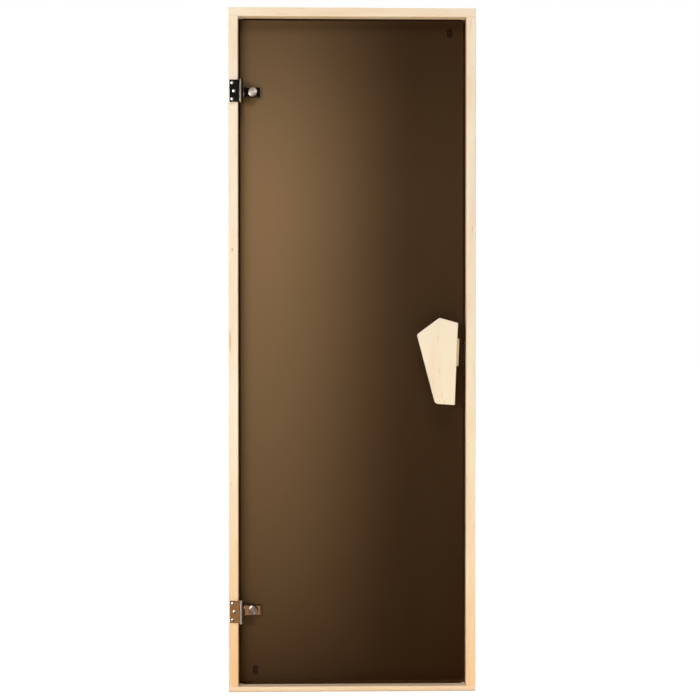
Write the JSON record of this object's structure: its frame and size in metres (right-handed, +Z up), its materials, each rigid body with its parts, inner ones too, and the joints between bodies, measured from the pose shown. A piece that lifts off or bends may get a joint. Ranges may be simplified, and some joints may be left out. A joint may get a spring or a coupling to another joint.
{
  "type": "sauna door",
  "caption": "Toughened glass door for a sauna, hung in a slim wooden frame on chrome hinges, with a wooden handle on each side.",
  "frame": {"origin": "on the outer side face of the hinge jamb, halfway up the frame and halfway through its depth", "axes": "+X from the hinge side to the latch side, +Y into the sauna room, +Z up; the door opens towards -Y"},
  "size_m": [0.685, 0.096, 1.895],
  "materials": {
    "pale_wood": "sanded, untreated",
    "bronze_glass": "bronze tinted, satin etched",
    "chrome": "polished",
    "turned_steel": "turned",
    "seal_silicone": "matt",
    "pad_plastic": "matt",
    "catch_plastic": "matt"
  },
  "bodies": {
    "door_frame": {"head": "pale_wood", "sill": "pale_wood", "hinge_jamb": "pale_wood", "latch_jamb": "pale_wood", "hinge_side_seal": "seal_silicone", "latch_side_seal": "seal_silicone", "head_seal": "seal_silicone", "sill_seal": "seal_silicone", "upper_hinge_leaf": "chrome", "upper_hinge_pin": "chrome", "lower_hinge_leaf": "chrome", "lower_hinge_pin": "chrome", "magnet_catch": "catch_plastic"},
    "door_leaf": {"glass_pane": "bronze_glass", "upper_hinge_clamp": "chrome", "upper_hinge_back_plate": "chrome", "upper_hinge_front_pad": "pad_plastic", "upper_hinge_back_pad": "pad_plastic", "upper_hinge_cap_bolt": "turned_steel", "upper_hinge_cap_nut": "turned_steel", "lower_hinge_clamp": "chrome", "lower_hinge_back_plate": "chrome", "lower_hinge_front_pad": "pad_plastic", "lower_hinge_back_pad": "pad_plastic", "lower_hinge_cap_bolt": "turned_steel", "lower_hinge_cap_nut": "turned_steel", "outer_handle_plate": "pale_wood", "outer_handle_block": "pale_wood", "inner_handle_plate": "pale_wood", "inner_handle_block": "pale_wood", "handle_studs": "turned_steel", "strike_plate": "turned_steel"}
  },
  "joints": [
    {"name": "door_swing", "type": "hinge", "parent": "door_frame", "child": "door_leaf", "pos_m": [0.036, -0.0425, 0], "axis": [0, 0, -1], "range_deg": [0, 170]}
  ]
}
